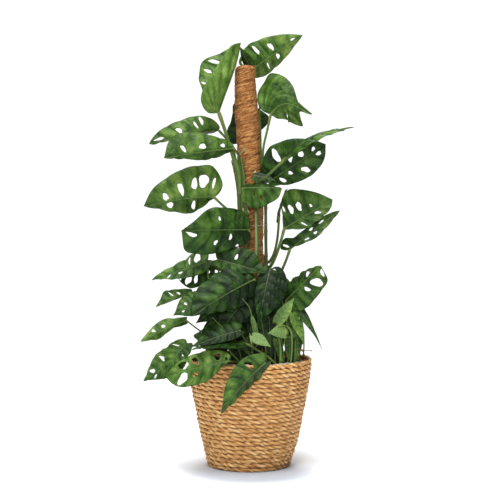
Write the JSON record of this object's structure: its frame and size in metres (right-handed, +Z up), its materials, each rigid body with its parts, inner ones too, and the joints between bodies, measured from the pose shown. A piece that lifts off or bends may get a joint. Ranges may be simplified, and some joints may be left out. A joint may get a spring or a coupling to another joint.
{
  "type": "potted climbing plant",
  "caption": "Potted climbing plant with perforated heart-shaped leaves on a coir pole, standing in a tapered woven seagrass basket.",
  "frame": {"origin": "centre of the flat underside of the basket, on the surface it stands on", "axes": "+Z up along the basket, +X to the right of the picture, +Y away from its camera"},
  "size_m": [0.4042, 0.3295, 0.8423],
  "materials": {
    "seagrass": "matt woven seagrass rope, uneven straw colour",
    "film": "thin milky film",
    "black_plastic": "plain nursery pot",
    "earth": "loose potting soil with bark",
    "coir": "coarse orange-brown fibre",
    "wood": "plain round stake",
    "stem": "smooth green to olive stem",
    "leaf_green": "satin leaf, darker above than below",
    "twine": "pale thin cord"
  },
  "bodies": {
    "root": {"basket": "seagrass", "coir_sleeve": "coir", "grow_pot": "black_plastic", "leaf_back_1": "leaf_green", "leaf_back_10": "leaf_green", "leaf_back_11": "leaf_green", "leaf_back_2": "leaf_green", "leaf_back_3": "leaf_green", "leaf_back_4": "leaf_green", "leaf_back_5": "leaf_green", "leaf_back_6": "leaf_green", "leaf_back_7": "leaf_green", "leaf_back_8": "leaf_green", "leaf_back_9": "leaf_green", "leaf_centre_1": "leaf_green", "leaf_centre_2": "leaf_green", "leaf_centre_3": "leaf_green", "leaf_centre_4": "leaf_green", "leaf_hanging": "leaf_green", "leaf_left_1": "leaf_green", "leaf_left_10": "leaf_green", "leaf_left_11": "leaf_green", "leaf_left_2": "leaf_green", "leaf_left_3": "leaf_green", "leaf_left_4": "leaf_green", "leaf_left_5": "leaf_green", "leaf_left_6": "leaf_green", "leaf_left_7": "leaf_green", "leaf_left_8": "leaf_green", "leaf_left_9": "leaf_green", "leaf_low_1": "leaf_green", "leaf_low_2": "leaf_green", "leaf_low_3": "leaf_green", "leaf_low_4": "leaf_green", "leaf_right_1": "leaf_green", "leaf_right_2": "leaf_green", "leaf_right_3": "leaf_green", "leaf_right_4": "leaf_green", "leaf_right_5": "leaf_green", "leaf_right_6": "leaf_green", "leaf_rim_1": "leaf_green", "leaf_rim_2": "leaf_green", "leaf_top_back": "leaf_green", "leaf_top_folded": "leaf_green", "leaf_top_left": "leaf_green", "leaf_top_right": "leaf_green", "plastic_liner": "film", "pole_core": "wood", "shoot_back": "stem", "shoot_front": "stem", "shoot_left": "stem", "shoot_middle": "stem", "shoot_right": "stem", "soil": "earth", "tie_cord": "twine", "vine_back": "stem", "vine_front": "stem", "vine_left": "stem", "vine_right": "stem"}
  },
  "joints": []
}
